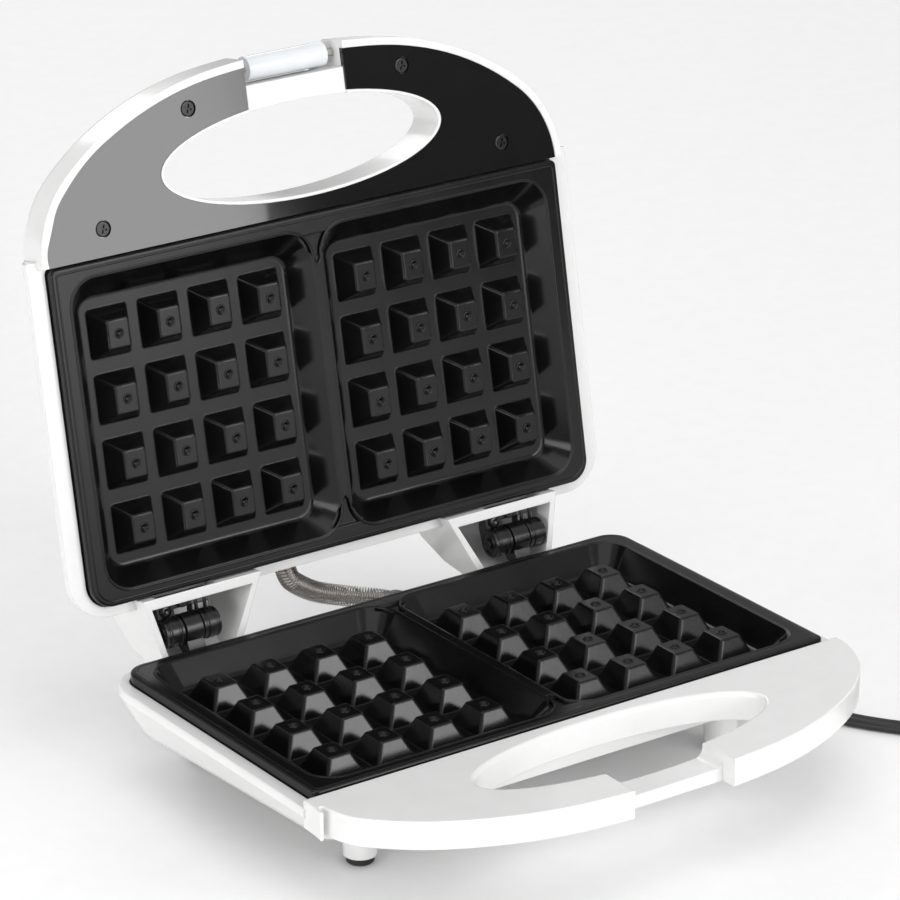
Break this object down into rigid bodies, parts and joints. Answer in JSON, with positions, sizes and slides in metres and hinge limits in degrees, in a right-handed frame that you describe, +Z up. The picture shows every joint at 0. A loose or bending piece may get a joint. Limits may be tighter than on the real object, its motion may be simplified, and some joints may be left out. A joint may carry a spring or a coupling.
{
  "type": "waffle maker",
  "caption": "Two-slice electric waffle maker standing open: hinged lid with grip and latch, two cast peg plates, white shells, legs, spring cable guard and coiled lead.",
  "frame": {"origin": "bottom centre of the box round the standing, open waffle maker without its lead, on the table", "axes": "+X to the user's right along the hinge line, -Y the front with the grips, +Z up"},
  "size_m": [0.3718, 0.2725, 0.2428],
  "materials": {
    "shell_white": "gloss",
    "latch_white": "gloss",
    "nonstick_plate": "satin",
    "cover_black": "high gloss",
    "rubber_black": "matte",
    "cord_black": "satin",
    "blade_brass": "polished",
    "plain_steel": "satin",
    "screw_black": "satin",
    "reflector_aluminium": "satin",
    "ceramic_white": "matte",
    "hinge_black": "satin",
    "lens_red": "clear gloss",
    "lens_green": "clear gloss",
    "lamp_glass": "clear",
    "wire_white": "matte"
  },
  "bodies": {
    "base": {"lower_housing": "shell_white", "lower_grip_cover": "shell_white", "lower_plate": "nonstick_plate", "foot_pads": "rubber_black", "grip_cover_screws": "plain_steel", "plate_screws_lower": "plain_steel", "lower_heating_element": "plain_steel", "lower_element_clamps": "plain_steel", "lower_reflector": "reflector_aluminium", "lower_thermostat": "ceramic_white", "terminal_block": "ceramic_white", "hinge_base_left": "hinge_black", "hinge_base_right": "hinge_black", "hinge_screws_lower": "screw_black", "strain_relief": "cord_black", "power_cord": "cord_black", "cord_coil": "cord_black", "plug_body": "cord_black", "plug_blades": "blade_brass", "lower_wiring": "wire_white", "spring_guard": "plain_steel", "guard_wires": "wire_white"},
    "lid": {"upper_housing": "shell_white", "upper_plate": "nonstick_plate", "handle_cover": "cover_black", "cover_screws": "screw_black", "upper_heating_element": "plain_steel", "upper_element_clamps": "plain_steel", "upper_reflector": "reflector_aluminium", "upper_thermostat": "ceramic_white", "thermal_fuse": "ceramic_white", "indicator_lens_red": "lens_red", "indicator_lens_green": "lens_green", "indicator_lamps": "lamp_glass", "hinge_lid_left": "hinge_black", "hinge_lid_right": "hinge_black", "hinge_pins": "hinge_black", "hinge_screws_upper": "screw_black", "latch_pin": "plain_steel", "upper_wiring": "wire_white"},
    "latch": {"latch_clip": "latch_white"}
  },
  "joints": [
    {"name": "lid_hinge", "type": "hinge", "parent": "base", "child": "lid", "pos_m": [0, 0.06881, 0.04417], "axis": [1, 0, 0], "range_deg": [0, 100.57], "deforming": ["spring_guard", "guard_wires"]},
    {"name": "latch_pivot", "type": "hinge", "parent": "lid", "child": "latch", "pos_m": [0, 0.11211, 0.23676], "axis": [1, 0, 0], "range_deg": [0, 205]}
  ]
}
